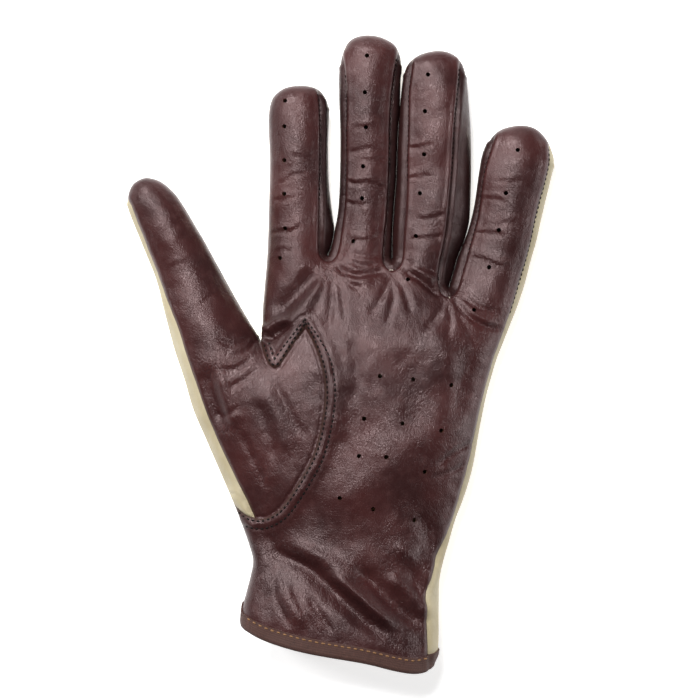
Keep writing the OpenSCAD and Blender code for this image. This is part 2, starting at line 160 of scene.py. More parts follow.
# ------ plane geometry
def spline(points, step):
    """A Catmull-Rom curve through the points, resampled at about `step`."""
    p = np.array(points, float)
    ends = np.vstack([2 * p[0] - p[1], p, 2 * p[-1] - p[-2]])
    out = []
    for a, b, c, d in zip(ends, ends[1:], ends[2:], ends[3:]):
        count = max(1, int(round(np.linalg.norm(c - b) / step)))
        for t in np.arange(count) / count:
            out.append(0.5 * ((2 * b) + (c - a) * t + (2 * a - 5 * b + 4 * c - d) * t**2
                              + (3 * b - a - 3 * c + d) * t**3))
    return np.array(out + [p[-1]])


def nearest(p, line):
    """Distance from each point to an open line, with the nearest point on it and how far along that is."""
    best = np.full(len(p), np.inf)
    foot = np.zeros((len(p), 2))
    along = np.zeros(len(p))
    run = 0.0
    for a, b in zip(line, line[1:]):
        ab = b - a
        size = float(np.hypot(*ab))
        if size < 1e-9:
            continue
        t = np.clip(((p - a) @ ab) / size**2, 0, 1)
        q = a + t[:, None] * ab
        d = np.hypot(*(p - q).T)
        near = d < best
        best[near], foot[near], along[near] = d[near], q[near], (run + t * size)[near]
        run += size
    return best, foot, along


def closest(p, lines):
    """Distance from each point to the nearest of several lines."""
    return np.min([nearest(p, np.asarray(line))[0] for line in lines], axis=0)


def hole_distance(p):
    return np.min([np.hypot(*(p - np.array(h)).T) for h in HOLES], axis=0)


def inside(p, polygon):
    """Whether each point lies in a closed polygon."""
    hit = np.zeros(len(p), bool)
    x, y = p[:, 0], p[:, 1]
    for (x1, y1), (x2, y2) in zip(polygon, np.roll(polygon, -1, axis=0)):
        if y1 == y2:
            continue
        crosses = (y1 > y) != (y2 > y)
        hit ^= crosses & (x < (x2 - x1) * (y - y1) / (y2 - y1) + x1)
    return hit


def smooth(v):
    """0 up to 0, 1 from 1 on, and a soft step between."""
    v = np.clip(v, 0, 1)
    return v * v * (3 - 2 * v)


OUTLINE = spline(
    WRIST_LEFT + THUMB_TIP + THUMB_RIGHT + INDEX_LEFT + INDEX_TIP + INDEX_RIGHT + MIDDLE_LEFT + MIDDLE_TIP
    + MIDDLE_RIGHT + RING_LEFT + RING_TIP + RING_RIGHT + LITTLE_LEFT + LITTLE_TIP + LITTLE_RIGHT, 1.0)
TUBE = np.vstack([OUTLINE, TUBE_END, OUTLINE[:1]])

# ------ joints and zones
JOINTS = {j["name"]: j for j in frame["joints"]}


class Bend:
    """One digit: where along it its two bends start and end, and how far across it reaches."""

    def __init__(self, name, first, start, split, end, reach):
        joint = JOINTS[name + "_" + first]
        self.name = name
        self.root = np.array(joint["pos_m"][:2]) / MM
        axis = np.array(joint["axis"][:2])
        self.axis = axis / np.hypot(*axis)
        self.way = np.array([-self.axis[1], self.axis[0]])
        self.start, self.split, self.end = start, split, end
        self.reach = reach

    def along(self, p):
        return (p - self.root) @ self.way

    def across(self, p):
        return (p - self.root) @ self.axis

    def point(self, s, t=0.0):
        return self.root + s * self.way + t * self.axis


DIGITS = [
    Bend("index", "knuckle", 4, 19, 43, (-13, 14.5)),
    Bend("middle", "knuckle", 5, 27, 53, (-13, 15)),
    Bend("ring", "knuckle", 7.5, 27, 52, (-11, 16)),
    Bend("little", "knuckle", 7.5, 22, 46, (-12, 17)),
    Bend("thumb", "root_joint", -3, 23, 50, (-18, 17)),
]
COLUMNS = [DIGITS[-1]] + DIGITS[:-1]     # from left to right
ZONES = ["hand"] + [digit.name + part for digit in COLUMNS for part in ("_base", "_tip")]


# ------ the filled shape
RIM = 3.5            # width of the band along the outline whose points crowd towards the edge
FINGER_HALF = 10.2   # a finger's half thickness, and how much more the other parts have
PALM_MORE, THUMB_MORE, WRIST_MORE = 4.3, 1.2, 4.5
# How the top and the back curve away from the outline: squared height and width of the curve
ROUND_A, ROUND_B = 343.0, 22.0
BELLY_A, BELLY_B = 300.0, 20.0


def rounding_distance(p):
    """Like the distance to the outline near an edge, but smooth where two edges are equally near."""
    total = np.zeros(len(p))
    for a, b in zip(TUBE, TUBE[1:]):
        size = float(np.hypot(*(b - a)))
        if size < 1e-9:
            continue
        u = (b - a) / size
        r = p - a
        h2 = np.maximum((r[:, 0] * u[1] - r[:, 1] * u[0]) ** 2, 1e-9)
        t1 = -(r @ u)
        t2 = t1 + size
        total += (t2 / np.sqrt(h2 + t2**2) - t1 / np.sqrt(h2 + t1**2)) / h2
    return np.sqrt(2 / np.maximum(total, 1e-9))


def equator(p):
    """Height of the outline above the floor, which is half the thickness there."""
    x, y = p[:, 0], p[:, 1]
    thumb = smooth((-35 - x) / 14) * smooth((y + 5) / 20)
    palm, wrist = smooth((34 - y) / 44), smooth((-58 - y) / 26)
    return FINGER_HALF + PALM_MORE * palm + THUMB_MORE * thumb + WRIST_MORE * wrist


def top_height(p, d):
    return equator(p) + np.sqrt(ROUND_A * (1 - np.exp(-d / ROUND_B)))


def back_height(p, d):
    return np.maximum(equator(p) - np.sqrt(BELLY_A * (1 - np.exp(-d / BELLY_B))), 0.0)


def crowd(p):
    """Moves points near the outline towards it, so that the steep sides get as many as the rest."""
    d, foot, _ = nearest(p, TUBE)
    s = np.clip(d / RIM, 1e-9, None)
    scale = np.where(s < 1, s * (2 - s), 1.0)
    return foot + (p - foot) * scale[:, None]


def uncrowd(p):
    """The reverse of crowd, for seams whose real place is known."""
    d, foot, _ = nearest(p, TUBE)
    table = np.linspace(0, 1, 400)
    s = np.interp(np.clip(d / RIM, 0, 1), table**2 * (2 - table), table)
    scale = np.where(d < RIM, s * RIM / np.maximum(d, 1e-9), 1.0)
    return foot + (p - foot) * scale[:, None]


# ------ lines of the plan mesh
def insert_crossings(outline):
    """Adds to the outline the points where each digit's cut lines meet it."""
    for digit in DIGITS:
        low, high = digit.reach
        for s in (digit.start, digit.split):
            along, across = digit.along(outline), digit.across(outline)
            rows = []
            for i in range(len(outline)):
                rows.append(outline[i])
                if i + 1 == len(outline) or (along[i] - s) * (along[i + 1] - s) >= 0:
                    continue
                if low - 4 < across[i] < high + 4:
                    f = (s - along[i]) / (along[i + 1] - along[i])
                    rows.append(outline[i] + f * (outline[i + 1] - outline[i]))
            outline = np.array(rows)
    return outline


def snapped(line, ends, step=1.0):
    """A seam through its points, with the ends named in `ends` moved onto the outline."""
    p = [tuple(q) for q in line]
    for e in ends:
        q = np.array(p[e])
        p[e] = tuple(OUTLINE[np.argmin(np.hypot(*(OUTLINE - q).T))])
    return spline(p, step)


OUTLINE = insert_crossings(OUTLINE)
TUBE = np.vstack([OUTLINE, TUBE_END, OUTLINE[:1]])
GAPS = [snapped(g, (0, -1)) for g in GAP_SEAMS]
THUMB_EDGE = snapped(THUMB_SEAM, (0,))
LITTLE_EDGE = snapped(LITTLE_SEAM, (0,))
LOOP_A = snapped(LOOP_LOW, (0,), 0.8)
LOOP_B = snapped(LOOP_HIGH, (-1,), 0.8)
LOOP = np.vstack([LOOP_A, LOOP_B[1:]])
WRAP = snapped(WRIST_WRAP, (0,), 1.5)
PALM_END = spline(HEM_PALM, 1.2)
BACK_END = spline(HEM_BACK, 1.2)
PALM_END[0] = BACK_END[0] = OUTLINE[0]
PALM_END[-1] = BACK_END[-1] = OUTLINE[-1]
BAND_PALM = snapped([(x, y + BINDING_H) for x, y in HEM_PALM], (0, -1), 1.2)
BAND_BACK = snapped([(x, y + BINDING_H) for x, y in HEM_BACK], (0, -1), 1.2)


def in_plan(line):
    """A seam in the plan mesh's own coordinates, with its ends left where they are."""
    moved = uncrowd(line)
    moved[0], moved[-1] = line[0], line[-1]
    return moved


PLAN_GAPS = [in_plan(g) for g in GAPS]
PLAN_THUMB = in_plan(THUMB_EDGE)
PLAN_LITTLE = in_plan(LITTLE_EDGE)
PLAN_LOOP = in_plan(LOOP)
PLAN_WRAP = in_plan(WRAP)


def cut_lines():
    """Straight lines across each digit, where one piece of leather hands over to the next."""
    for digit in DIGITS:
        for s in (digit.start, digit.split):
            on = OUTLINE[np.abs(digit.along(OUTLINE) - s) < 1e-6]
            t = np.sort(digit.across(on))
            low, high = t[t < 0][-1], t[t > 0][0]
            start, end = digit.point(s, low), digit.point(s, high)
            count = int(high - low)
            yield np.array([start + (end - start) * k / count for k in range(count + 1)])


def circle(centre, radius, count=20):
    a = np.arange(count) * 2 * math.pi / count
    return np.array(centre) + radius * np.column_stack([np.cos(a), np.sin(a)])


def lattice(step):
    """Points of a triangular lattice over the outline's box."""
    low, high = OUTLINE.min(0) - 1, OUTLINE.max(0) + 1
    columns = np.arange(low[0], high[0], step)
    rows = np.arange(LATTICE_END, high[1], step * math.sqrt(3) / 2)
    return np.vstack([np.column_stack([columns + (k % 2) * step / 2, np.full(len(columns), y)])
                      for k, y in enumerate(rows)])


def plan_mesh():
    """Triangles over the whole outline whose edges follow every seam, hole and cut line."""
    domain = np.vstack([OUTLINE, PALM_END[::-1]])
    seams = PLAN_GAPS + [PLAN_THUMB, PLAN_LITTLE, PLAN_LOOP]
    cuts = list(cut_lines())
    lines = [OUTLINE, PALM_END, BAND_PALM, BAND_BACK] + seams + [PLAN_WRAP, BACK_END] + cuts
    points, edges = [], []
    for step, far in ((FINE, False), (COARSE, True)):
        p = lattice(step)
        p = p[inside(p, domain)]
        close = closest(p, [TUBE] + seams)
        to_line = closest(p, [PALM_END, BACK_END, BAND_PALM, BAND_BACK, PLAN_WRAP] + cuts)
        keep = (close >= FINE_BAND) == far
        keep &= np.minimum(close, to_line) > EDGE_CLEAR * step
        keep &= hole_distance(p) > HOLE_R + HOLE_CLEAR
        points += [tuple(q) for q in p[keep]]
    for line, closed in [(s, 0) for s in lines] + [(circle(h, HOLE_R), 1) for h in HOLES]:
        first, count = len(points), len(line)
        points += [tuple(q) for q in line]
        edges += [(first + i, first + (i + 1) % count) for i in range(count - 1 + closed)]
    made = geometry.delaunay_2d_cdt([Vector(q) for q in points], edges, [], 0, 1e-6, False)
    plan = np.array([tuple(q) for q in made[0]])
    faces = np.array([f for f in made[2] if len(f) == 3])
    middle = plan[faces].mean(axis=1)
    kept = inside(middle, domain)
    return plan, faces[kept], middle[kept]


# ------ relief: folds, creases, seams
BACK_WORKED = 0.3    # how creased the back is, all over
MEETING = 0.12       # fingers nearer than this to the line between them touch, and swell by SWELL
SWELL = 0.04
TAPER = 0.25         # share of a fold over which each of its ends fades
LAP = 1.15
CREASE_SHARE = 0.7   # how much of its depth in the table below a crease is pressed in
BROAD = 10.0         # folds wider than this keep INLAND away from the outline, which they would pull in
INLAND = 9.0


def bump(d, width):
    return np.exp(-((d / width) ** 2))


def fold(p, points, height, width):
    """A ridge, or with a negative height a valley, along a curve through the points, fading at its ends."""
    d, _, along = nearest(p, spline(points, 2.0))
    total = along.max()
    taper = TAPER * total
    return height * bump(d, width) * (smooth(along / taper) * smooth((total - along) / taper))


def crease(p, digit, s, tilt, depth, low, high):
    """A wavy valley across a digit at s along it, from `low` to `high` across it, with a ridge above it."""
    t = np.linspace(low, high, 7)
    wave = 0.5 * np.sin(t * 0.6 + s) + 0.3 * np.sin(t * 1.7 + 2 * s)
    points = [digit.point(s + tilt * a + w, a) for a, w in zip(t, wave)]
    return fold(p, points, -depth, 0.8) + fold(p, [q + 1.5 * digit.way for q in points], 0.5 * depth, 1.0)


# Creases across each digit: along it, tilt, depth, from, to (across it)
CREASES = {
    "index": [(13, 0.22, 0.7, -11, 3), (26, 0.3, 0.35, -10, 0), (34, 0.42, 0.4, -9, 5),
        (41, 0.1, 0.3, -4, 6), (5, 0.12, 0.4, -9, -1)],
    "middle": [(10, 0.2, 0.5, -5, 8), (24, 0.08, 0.45, -7, 3), (32, -0.1, 0.7, -8, 10),
        (41, 0.06, 0.4, -2, 9), (45, 0.16, 0.3, -7, 4), (54, 0.3, 0.3, -6, 5)],
    "ring": [(23, 0.14, 0.5, -3, 9), (39, 0.04, 0.35, -8, 3), (51, 0.16, 0.55, -8, 3),
        (15, 0.24, 0.5, -5, 9)],
    "little": [(16, -0.16, 0.6, -9, 6), (27, -0.06, 0.5, -9, 4), (31, 0.24, 0.35, -2, 10),
        (40, -0.14, 0.35, -9, 3), (48, 0.1, 0.3, -4, 8)],
    "thumb": [(17, 0.2, 0.3, -4, 9), (34, -0.14, 0.25, -7, 5), (-7, 0.1, 0.7, 2, 15)],
}
# Broad and narrow folds of the palm and the wrist: points, height, half width
FOLDS = [
    # the drawn-in wrist, the pad below the fingers, and the swell above the heel of the hand
    ([(-60, -76), (-20, -80), (20, -84), (60, -88)], -3.9, 15.0),
    ([(-12, 12), (20, 6), (52, 0)], 1.1, 12.0), ([(-10, -64), (15, -45), (38, -29), (54, -20)], 1.7, 10.5),
    # below the index finger, and the star of folds at each crotch
    ([(-7, 33), (-16, 24), (-27, 13)], -2.2, 3.4), ([(-5, 31), (-14, 18), (-24, 8)], 1.3, 2.4),
    ([(-5, 33), (-8, 22), (-12, 13)], -0.7, 1.2), ([(-4, 33), (-3.5, 22), (-5, 8)], -0.8, 1.3),
    ([(-4, 33), (0, 24), (2, 10)], -0.6, 1.1), ([(-3, 34.5), (4, 30), (13, 31), (18.6, 32)], -1.4, 1.3),
    ([(-2, 34), (3, 27), (9, 24)], -0.7, 1.1), ([(-1, 32), (5, 27.6), (13, 28.6)], 0.8, 1.6),
    ([(2, 36), (8, 33.5), (15, 34.5)], -0.8, 0.9), ([(3, 39), (9, 37), (15, 37.5)], -0.5, 0.8),
    ([(19.3, 31), (16, 22), (10, 13)], -0.8, 1.2), ([(19.5, 31), (20, 20), (17, 9)], -0.7, 1.2),
    ([(20, 31), (25, 22), (27, 13)], -0.7, 1.1),
    ([(23, 32.5), (30, 28.5), (36, 23.5), (40.4, 21)], -1.6, 1.2),
    ([(23.5, 36), (30, 33), (37, 31)], -0.5, 0.9), ([(26, 34), (33, 30), (37, 27)], 0.8, 1.8),
    ([(41, 20.5), (36, 13), (31, 7)], -0.8, 1.2), ([(41.4, 20), (42, 11), (40, 3)], -0.7, 1.2),
    ([(42.5, 21), (50, 13.5), (58, 9.5), (63, 9)], -1.4, 1.2), ([(43, 19), (49, 8), (52, 2)], -0.7, 1.1),
    ([(46, 22), (54, 17), (62, 16)], -0.8, 1.0), ([(47, 17), (55, 12), (60, 11)], 0.8, 1.6),
    # pocket beside the thumb's crotch
    ([(-29.4, 3.4), (-25, 7.6), (-18.4, 11.4)], -2.6, 1.3),
    ([(-30, 7.5), (-26, 11), (-20, 14.5)], 1.0, 1.6),
    # folds round the root of the thumb
    ([(-52, -4), (-49.5, -16), (-45, -30)], -1.6, 2.6), ([(-47, -6), (-44, -18), (-40, -30)], 1.1, 2.4),
    ([(-33, -1), (-40, -6), (-47, -7)], -0.9, 1.1), ([(-31, -5), (-38, -11), (-44, -14)], -0.8, 1.1),
    ([(-35, 6), (-42, 3), (-49, 6)], -0.6, 1.0), ([(-38, -20), (-44, -24), (-50, -24)], -0.5, 0.9),
    ([(-40, -28), (-33, -42), (-28, -54)], -0.7, 1.6), ([(-30, -12), (-24, -26), (-20, -40)], 0.6, 2.2),
    ([(-27, -9), (-20, -22), (-13, -34)], -0.6, 1.6), ([(-34, -16), (-28, -30), (-25, -44)], -0.6, 1.8),
    # palm
    ([(2, -5), (-2, -20), (0, -36)], 0.7, 4.0), ([(20, 4), (28, -14), (30, -34)], -0.8, 6.0),
    ([(4, 8), (6, -6), (5, -22)], -0.5, 2.0), ([(33, 12), (40, -2), (42, -12)], 0.7, 4.0),
    ([(50, 2), (46, -14), (44, -30)], -0.8, 3.0), ([(53, -34), (44, -38), (36, -44)], -0.7, 1.0),
    ([(50, -42), (42, -46), (34, -48)], -0.5, 0.9),
    # wrist: long folds that run down to the right
    ([(-34, -74.5), (-18, -79.5), (-8, -87), (10, -103), (26, -112)], -2.3, 3.2),
    ([(-26, -72), (-10, -77), (4, -86), (20, -98)], 1.3, 3.2),
    ([(-6, -83), (6, -92), (22, -106)], 2.6, 2.4), ([(4, -81), (16, -92), (33, -107)], -2.4, 3.4),
    ([(18, -84), (28, -93), (35, -103)], 1.7, 2.6), ([(-32, -84), (-22, -92), (-12, -106)], 1.5, 4.2),
    ([(-27, -84), (-24, -96), (-18, -106)], -0.8, 1.3), ([(-20, -86), (-16, -96), (-10, -106)], -0.6, 1.1),
    ([(-13, -92), (-8, -100), (-2, -108)], -0.6, 1.1), ([(28, -60), (36, -72), (38, -84)], -1.3, 3.4),
    ([(20, -72), (30, -80), (36, -92)], 0.9, 2.6),
]


def worked(p):
    """How creased the leather is at each plan point: 1 along a fold, fading to 0 away from them all."""
    out = np.zeros(len(p))
    for points, height, width in FOLDS:
        if width <= BROAD:
            out = np.maximum(out, min(1.0, abs(height)) * bump(nearest(p, spline(points, 3.0))[0], 5.0))
    for digit in DIGITS:
        for s, tilt, depth, low, high in CREASES[digit.name]:
            line = np.array([digit.point(s + tilt * t, t) for t in (low, 0, high)])
            out = np.maximum(out, min(1.0, depth * 1.2) * bump(nearest(p, line)[0], 4.0))
    return out


def cloud(p, size, seed):
    """Soft noise over the plan, about -1 to 1."""
    return np.array([noise.noise(Vector((x / size, y / size, seed))) for x, y in p])


def seam_roll(p, line, groove=0.9, roll=0.4):
    """The skin dives into a seam and swells beside it."""
    d = nearest(p, line)[0]
    return -groove * np.exp(-((d / 0.5) ** 1.4)) + roll * bump(d - 1.5, 0.8)


def stitch_rows(d):
    """1 along the two rows of stitches that follow the loop, fading beside them."""
    return bump(d - 1.0, 0.5) + bump(d - 3.9, 0.6)


def side_seams(p):
    """The groove along the outline wherever the palm's leather meets the back's."""
    d = closest(p, [spline(line, 1.0) for line in SIDE_SEAMS])
    return -0.2 * bump(d, 0.45) + 0.25 * bump(d - 1.4, 0.7)


def relief_top(p, on_thumb):
    """How far the palm side's skin stands out of the filled shape at each plan point."""
    # slow and quick unevenness, then what the tables say
    out = 0.45 * cloud(p, 13, 1.0) + 0.16 * cloud(p, 4.6, 5.0) + side_seams(p)
    for digit in DIGITS:
        for s, tilt, depth, low, high in CREASES[digit.name]:
            out += crease(p, digit, s, tilt, CREASE_SHARE * depth, low, high)
    inland = smooth(nearest(p, TUBE)[0] / INLAND)
    for points, height, width in FOLDS:
        out += fold(p, points, height, width) * (inland if width > BROAD else 1.0)
    for line in GAPS:
        out += seam_roll(p, line)
    for line in (THUMB_EDGE, LITTLE_EDGE):
        out += seam_roll(p, line, 0.5, 0.25)
    # the palm's leather lies on the thumb's along the loop, LAP higher, and its stitches draw it in
    d = nearest(p, LOOP)[0]
    step = LAP * (1 - np.exp(-((d / 0.4) ** 2))) * np.exp(-((d / 6.0) ** 4))
    out += np.where(on_thumb, -0.5 * bump(d, 1.1), step - 0.35 * stitch_rows(d))
    return out


def relief_back(p):
    """The same for the back's skin."""
    out = 0.25 * cloud(p, 15, 9.0) + side_seams(p)
    for line in GAPS:
        out += seam_roll(p, line)
    # three rows of pointing on the back, and the gathers of the elastic across the wrist
    for x in (-9, 14, 36):
        out += fold(p, [(x, 12), (x - 2, -14), (x - 6, -38)], 0.8, 1.0)
    gathers = np.sin(p[:, 0] * 1.25 + 1.5 * np.sin(p[:, 1] * 0.11))
    return out + 0.55 * gathers * bump(p[:, 1] + 82, 11)


# ------ the skin as one closed surface
def face_normals(v, f):
    return np.cross(v[f[:, 1]] - v[f[:, 0]], v[f[:, 2]] - v[f[:, 0]])


def vertex_normals(v, f):
    n = np.zeros_like(v)
    fn = face_normals(v, f)
    for k in range(3):
        np.add.at(n, f[:, k], fn)
    return n / np.maximum(np.linalg.norm(n, axis=1), 1e-12)[:, None]


def touching(p):
    """Neighbouring fingers lie against each other near their crotches, so their sides swell to meet."""
    return np.where(closest(p, DIVIDERS[1:]) < MEETING, SWELL, 0.0)


def build_skin():
    """The whole skin as one record.

    v: points; base: which way the skin faces there before its relief; trim, rows, worked: how much of the
    loop's edge, its stitches and its creases each point has, where rows and worked also darken the leather
    as painted shade; faces, with each one's region and zone, and whether it is under the tape (band) and on
    the palm side (top).
    """
    plan, faces, middle = plan_mesh()
    count = len(plan)
    true = crowd(plan)
    d = rounding_distance(true)
    edge_points = {tuple(q) for q in np.round(OUTLINE, 5)}
    on_edge = np.array([tuple(q) in edge_points for q in np.round(plan, 5)])
    # Areas of the plan: each seam, closed by corners well outside the outline
    thumb_area = np.vstack([PLAN_LOOP, [(-33, 15), (-45, 45), (-62, 80), (-100, 80), (-100, -58)]])
    thumb_cream = np.vstack([PLAN_THUMB, [(-33.6, -70), (-100, -70), (-100, 62)]])
    little_cream = np.vstack([PLAN_LITTLE, [(60, -125), (100, -60), (100, 75), (84, 82)]])
    wrap_area = np.vstack([PLAN_WRAP, [(-60, -125), (-60, -58)]])
    punched = hole_distance(middle) < HOLE_R
    region = np.full(len(faces), "palm", dtype=object)
    back_region = np.full(len(faces), "cream", dtype=object)
    in_thumb = inside(middle, thumb_area)
    region[in_thumb] = "thumb"
    region[(in_thumb & inside(middle, thumb_cream)) | inside(middle, little_cream)] = "cream"
    back_region[inside(middle, wrap_area)] = "palm"
    for k, g in enumerate(PLAN_GAPS):
        strip = inside(middle, g)
        region[strip] = back_region[strip] = "gap%d" % k
    # The plan is lifted into the filled shape, and the relief pushes it along that shape's normals
    side = equator(true)
    top = np.column_stack([true, np.where(on_edge, side, top_height(true, d))])
    back = np.column_stack([true, np.where(on_edge, side, back_height(true, d))])
    v = np.vstack([top, back])
    under = np.where(on_edge, np.arange(count), np.arange(count) + count)
    all_faces = np.vstack([faces, under[faces][:, ::-1]])
    base = vertex_normals(v, all_faces)
    thumb_side = np.zeros(count, bool)
    thumb_side[faces[region == "thumb"].ravel()] = True
    thumb_side[nearest(true, LOOP)[0] < 1e-3] = False
    fade = np.where(on_edge, 0.0, smooth(d / 1.2))
    seam = side_seams(true) + touching(true)
    reliefs = (relief_top(true, thumb_side), relief_back(true))
    push = np.concatenate([(relief - seam) * fade + seam for relief in reliefs])
    v = v + base * push[:, None]
    v[:, 2] = np.maximum(v[:, 2], 0.0)
    above = [inside(middle, np.vstack([OUTLINE, end[::-1]])) for end in (PALM_END, BACK_END)]
    taped = [~inside(middle, np.vstack([stretch_between(b), b[::-1]])) for b in (BAND_PALM, BAND_BACK)]
    use = np.concatenate([above[0] & ~punched, above[1]])
    from_loop = nearest(true, LOOP)[0]
    trim, rows = bump(from_loop, 0.5), np.minimum(stitch_rows(from_loop), 1.0)
    creased = worked(true)
    return {"v": v, "base": base,
            "trim": np.concatenate([trim, 0 * trim]), "rows": np.concatenate([rows, 0 * rows]),
            "worked": np.concatenate([creased, 0 * creased + BACK_WORKED]),
            "faces": all_faces[use], "region": np.concatenate([region, back_region])[use],
            "zone": np.concatenate([zone_of(middle)] * 2)[use], "band": np.concatenate(taped)[use],
            "top": np.arange(len(all_faces))[use] < len(faces)}


def stretch_between(line):
    """The stretch of the outline between the two ends of a line that starts and ends on it."""
    first, last = (np.argmin(np.hypot(*(OUTLINE - line[end]).T)) for end in (0, -1))
    return OUTLINE[first:last + 1]


# ------ zones: which bodies each face follows
def zone_of(p):
    """hand, or a digit's base or tip, for each plan point."""
    column = np.zeros(len(p), int)
    for line in DIVIDERS:
        xs, ys = np.array(line).T
        column += p[:, 0] > np.interp(p[:, 1], ys, xs)
    zone = np.full(len(p), "hand", dtype=object)
    for k, digit in enumerate(COLUMNS):
        s = digit.along(p)
        zone[(column == k) & (s > digit.start)] = digit.name + "_base"
        zone[(column == k) & (s > digit.split)] = digit.name + "_tip"
    return zone


BEND_HEIGHT = 0.012      # metres above the floor, about halfway up a finger


def attach(obj, zone):
    """A piece on the hand follows the hand; one on a digit's base or tip is only fixed where it lies, and
    does not bend.
    """
    if zone == "hand":
        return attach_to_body(obj, "hand")
    name, part = zone.split("_")
    digit = next(d for d in DIGITS if d.name == name)
    before, low, high = {"base": ("hand", digit.start, digit.split),
                         "tip": (name + "_base", digit.split, digit.end)}[part]
    start, end = digit.point(low) * MM, digit.point(high) * MM
    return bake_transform(obj, before, zone, start=(*start, BEND_HEIGHT), end=(*end, BEND_HEIGHT))


# ------ meshes
def make_object(name, v, faces, material, normals=None, values=None):
    """A mesh object from points in millimetres, with their place at rest kept for the materials."""
    mesh = bpy.data.meshes.new(name)
    mesh.from_pydata((v * MM).tolist(), [], [list(map(int, f)) for f in faces])
    mesh.polygons.foreach_set("use_smooth", np.ones(len(faces), bool))
    rest = mesh.attributes.new("rest", "FLOAT_VECTOR", "POINT")
    rest.data.foreach_set("vector", v.astype(np.float32).ravel())
    for key, value in (values or {}).items():
        mesh.attributes.new(key, "FLOAT", "POINT").data.foreach_set("value", value.astype(np.float32))
    mesh.materials.append(material)
    mesh.update()
    if normals is not None:
        mesh.normals_split_custom_set_from_vertices(normals.tolist())
    obj = bpy.data.objects.new(name, mesh)
    bpy.context.scene.collection.objects.link(obj)
    return obj


def edges_of(faces):
    return np.vstack([faces[:, [0, 1]], faces[:, [1, 2]], faces[:, [2, 0]]])


def codes(edges):
    return edges[:, 0].astype(np.int64) << 32 | edges[:, 1]


def rim_of(faces, whole):
    """The edges of these faces that are also edges of the whole region, not just of this zone."""
    e = edges_of(faces)
    inner = np.isin(codes(e[:, ::-1]), codes(edges_of(whole)))
    return e[~inner]


def leather_piece(name, skin, faces, whole, normals, material, trimmed):
    """One cut of leather: outer face, flesh side, and a rim along its real edges."""
    used, index = np.unique(faces, return_inverse=True)
    index = index.reshape(-1, 3)
    count = len(used)
    outer = skin["v"][used]
    inner = outer - skin["base"][used] * LEATHER_T
    rim = rim_of(faces, whole)
    ends, rim_index = np.unique(rim, return_inverse=True)
    rim_index = rim_index.reshape(-1, 2)
    place = np.searchsorted(used, ends)
    v = np.vstack([outer, inner, outer[place], inner[place]])
    a, b = rim_index[:, 0] + 2 * count, rim_index[:, 1] + 2 * count
    quads = np.column_stack([b, a, a + len(ends), b + len(ends)])
    n = np.vstack([normals[used], -normals[used], np.zeros((2 * len(ends), 3))])
    across = np.cross(v[quads[:, 1]] - v[quads[:, 0]], v[quads[:, 2]] - v[quads[:, 1]])
    for k in range(4):
        np.add.at(n, quads[:, k], across)
    n /= np.maximum(np.linalg.norm(n, axis=1), 1e-9)[:, None]
    flesh = np.concatenate([np.zeros(count), np.ones(count), np.full(2 * len(ends), 0.6)])
    both = np.concatenate([used, used, ends, ends])
    values = {"flesh": flesh, "worked": skin["worked"][both]}
    for key in ("trim", "rows"):
        values[key] = skin[key][both] * trimmed
    all_faces = index.tolist() + (index[:, ::-1] + count).tolist() + quads.tolist()
    return make_object(name, v, all_faces, material, n, values)


# ------ materials
def linear(rgb):
    """A colour given as sRGB 0 to 255, in the linear values that shaders take."""
    c = np.array(rgb) / 255
    return (*np.where(c <= 0.04045, c / 12.92, ((c + 0.055) / 1.055) ** 2.4).tolist(), 1.0)


class Nodes:
    """A material's node tree, with short ways to add the nodes that these materials use."""

    def __init__(self, name):
        self.material = bpy.data.materials.new(name)
        self.material.use_nodes = True
        self.tree = self.material.node_tree
        self.shader = self.tree.nodes["Principled BSDF"]

    def add(self, kind, inputs=(), **settings):
        node = self.tree.nodes.new("ShaderNode" + kind)
        for key, value in settings.items():
            setattr(node, key, value)
        for key, value in dict(inputs).items():
            self.put(node.inputs[key], value)
        return node

    def put(self, socket, value):
        if isinstance(value, bpy.types.NodeSocket):
            self.tree.links.new(value, socket)
        else:
            socket.default_value = value

    def rest(self, stretch=(1, 1, 1)):
        """Place at rest in millimetres, so that patterns stay put on the leather as it bends."""
        place = self.add("Attribute", attribute_name="rest").outputs["Vector"]
        return self.add("VectorMath", {0: place, 1: stretch}, operation="MULTIPLY").outputs[0]

    def value(self, name):
        return self.add("Attribute", attribute_name=name).outputs["Fac"]

    def noise(self, size, detail=3.0, rough=0.55, place=None):
        inputs = {"Vector": place or self.rest(), "Scale": 1 / size, "Detail": detail, "Roughness": rough}
        return self.add("TexNoise", inputs).outputs["Fac"]

    def cells(self, size, place):
        """Distance to the edges of cells of this size in millimetres."""
        node = self.add("TexVoronoi", {"Vector": place, "Scale": 1 / size}, feature="DISTANCE_TO_EDGE")
        return node.outputs["Distance"]

    def wave(self, name, pitch):
        """A sine along a value of the mesh that is in millimetres."""
        return self.math("SINE", self.math("MULTIPLY", self.value(name), 2 * math.pi / pitch))

    def ramp(self, value, low, high, to_low=0.0, to_high=1.0):
        inputs = {"Value": value, "From Min": low, "From Max": high, "To Min": to_low, "To Max": to_high}
        return self.add("MapRange", inputs).outputs["Result"]

    def math(self, operation, a, b=0.0):
        return self.add("Math", {0: a, 1: b}, operation=operation).outputs[0]

    def mix(self, share, a, b):
        node = self.add("Mix", data_type="RGBA")
        for key, value in ((0, share), (6, a), (7, b)):
            self.put(node.inputs[key], value)
        return node.outputs[2]

    def bump(self, height, distance, strength=1.0, under=None):
        inputs = {"Height": height, "Distance": distance, "Strength": strength}
        if under is not None:
            inputs["Normal"] = under
        return self.add("Bump", inputs).outputs["Normal"]

    def finish(self, **inputs):
        for key, value in inputs.items():
            self.put(self.shader.inputs[key.replace("_", " ")], value)
        return self.material


